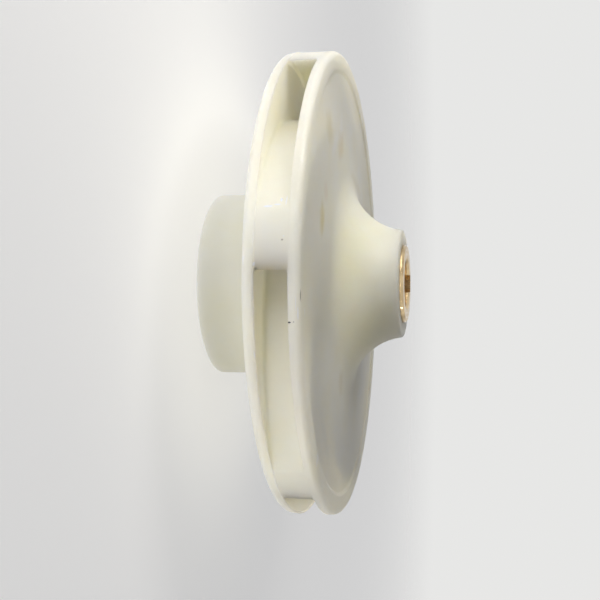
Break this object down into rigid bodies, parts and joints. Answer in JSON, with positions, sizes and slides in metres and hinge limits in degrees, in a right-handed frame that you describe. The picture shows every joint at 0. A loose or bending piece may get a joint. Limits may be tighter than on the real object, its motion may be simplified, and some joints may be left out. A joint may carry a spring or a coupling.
{
  "type": "closed pump impeller",
  "caption": "Closed centrifugal pump impeller: a plastic body and front shroud with backward-curved vanes between them, a suction eye ring and a keyed brass hub insert.",
  "frame": {"origin": "centre of the eye ring's end face, the lowest plane of the part as it stands", "axes": "+Z along the shaft axis from the eye to the hub; +Y towards the keyway"},
  "size_m": [0.13, 0.13, 0.0542],
  "materials": {
    "body_plastic": "satin ivory, slightly translucent",
    "shroud_plastic": "satin ivory, slightly translucent",
    "insert_brass": "turned brass"
  },
  "bodies": {
    "root": {"impeller_body": "body_plastic", "front_shroud": "shroud_plastic", "shaft_insert": "insert_brass"}
  },
  "joints": []
}
